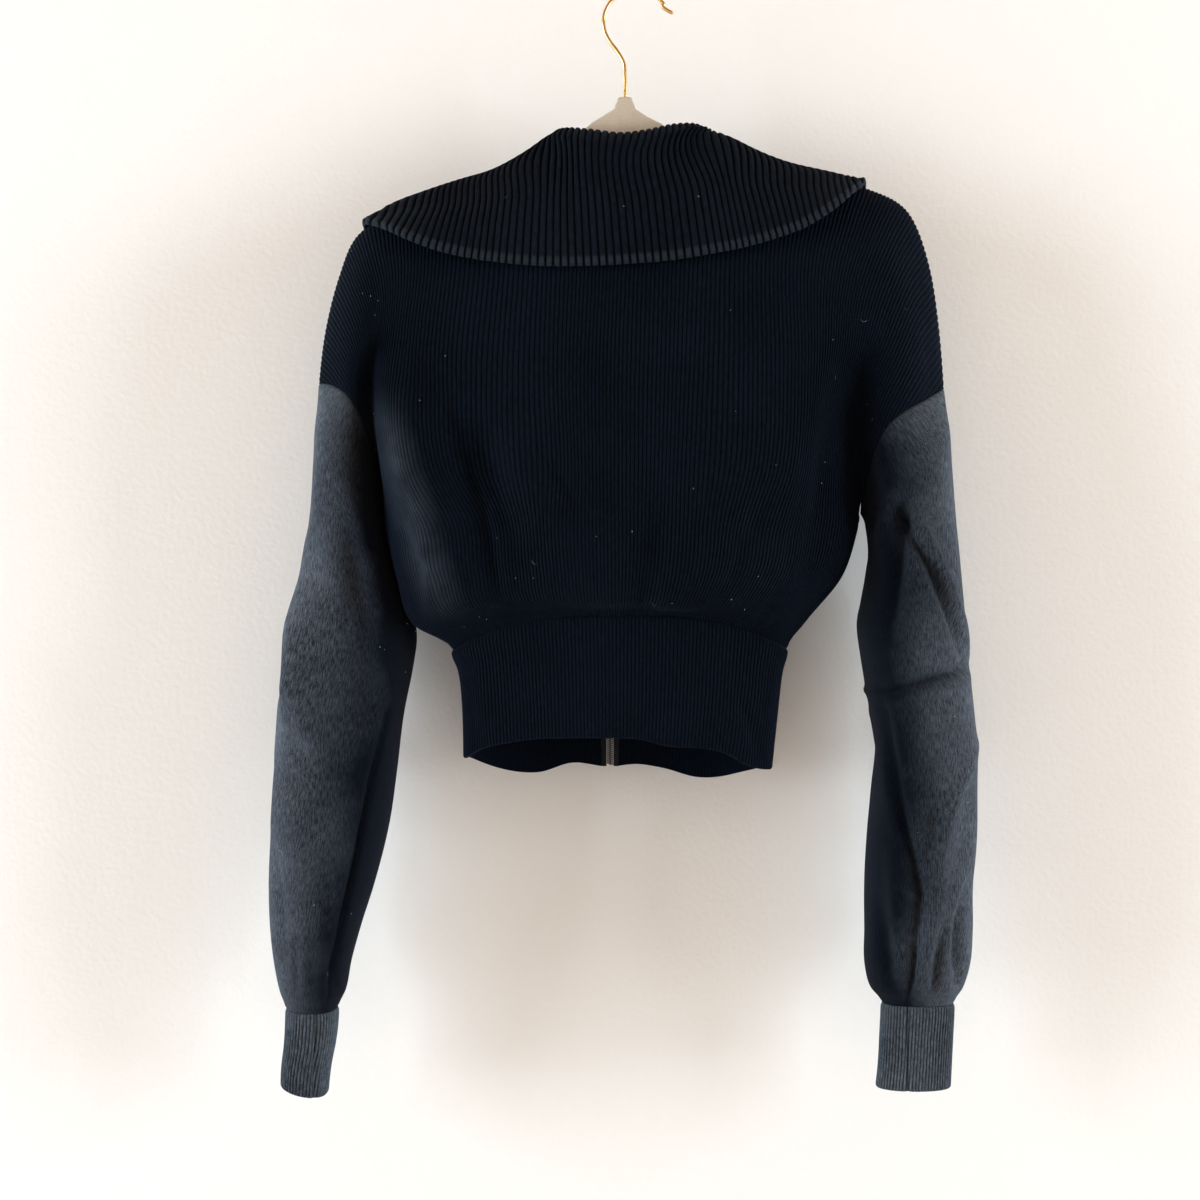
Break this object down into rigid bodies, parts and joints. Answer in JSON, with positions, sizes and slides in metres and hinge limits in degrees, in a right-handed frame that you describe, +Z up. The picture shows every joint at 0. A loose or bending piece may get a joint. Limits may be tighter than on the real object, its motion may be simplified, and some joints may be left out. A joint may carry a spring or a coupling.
{
  "type": "cropped knit zip jacket on a hanger",
  "caption": "Cropped knit zip jacket with a wide folded rib collar, ribbed waistband and cuffs, hung by its shoulders on a flat flocked hanger with a wire hook.",
  "frame": {"origin": "inside of the hanger hook's arch, where a rail carries it", "axes": "+Z up, +X to the right as the jacket is seen from behind, +Y out of its zipped front"},
  "size_m": [0.5362, 0.1448, 0.84],
  "materials": {
    "fine_rib_knit": "brushed fine rib knit",
    "brushed_knit": "brushed plain knit",
    "chunky_rib_knit": "wide rib knit",
    "zip_tape": "woven tape",
    "dark_metal": "dark nickel",
    "hanger_flock": "flocked",
    "gold_wire": "polished"
  },
  "bodies": {
    "jacket": {"back": "fine_rib_knit", "front_left": "fine_rib_knit", "front_right": "fine_rib_knit", "sleeve_left": "brushed_knit", "sleeve_right": "brushed_knit", "cuff_left": "fine_rib_knit", "cuff_right": "fine_rib_knit", "collar": "chunky_rib_knit", "waistband_back": "fine_rib_knit", "waistband_front_left": "fine_rib_knit", "waistband_front_right": "fine_rib_knit", "zip_chain": "dark_metal", "zip_tape_left": "zip_tape", "zip_tape_right": "zip_tape", "slider": "dark_metal", "hanger_body": "hanger_flock", "hanger_hook": "gold_wire"},
    "pull_tab": {"pull_tab": "dark_metal"}
  },
  "joints": [
    {"name": "pull_tab_hinge", "type": "hinge", "parent": "jacket", "child": "pull_tab", "pos_m": [-0.02151, 0.05005, -0.28283], "axis": [1, 0, 0], "range_deg": [0, 150]}
  ]
}
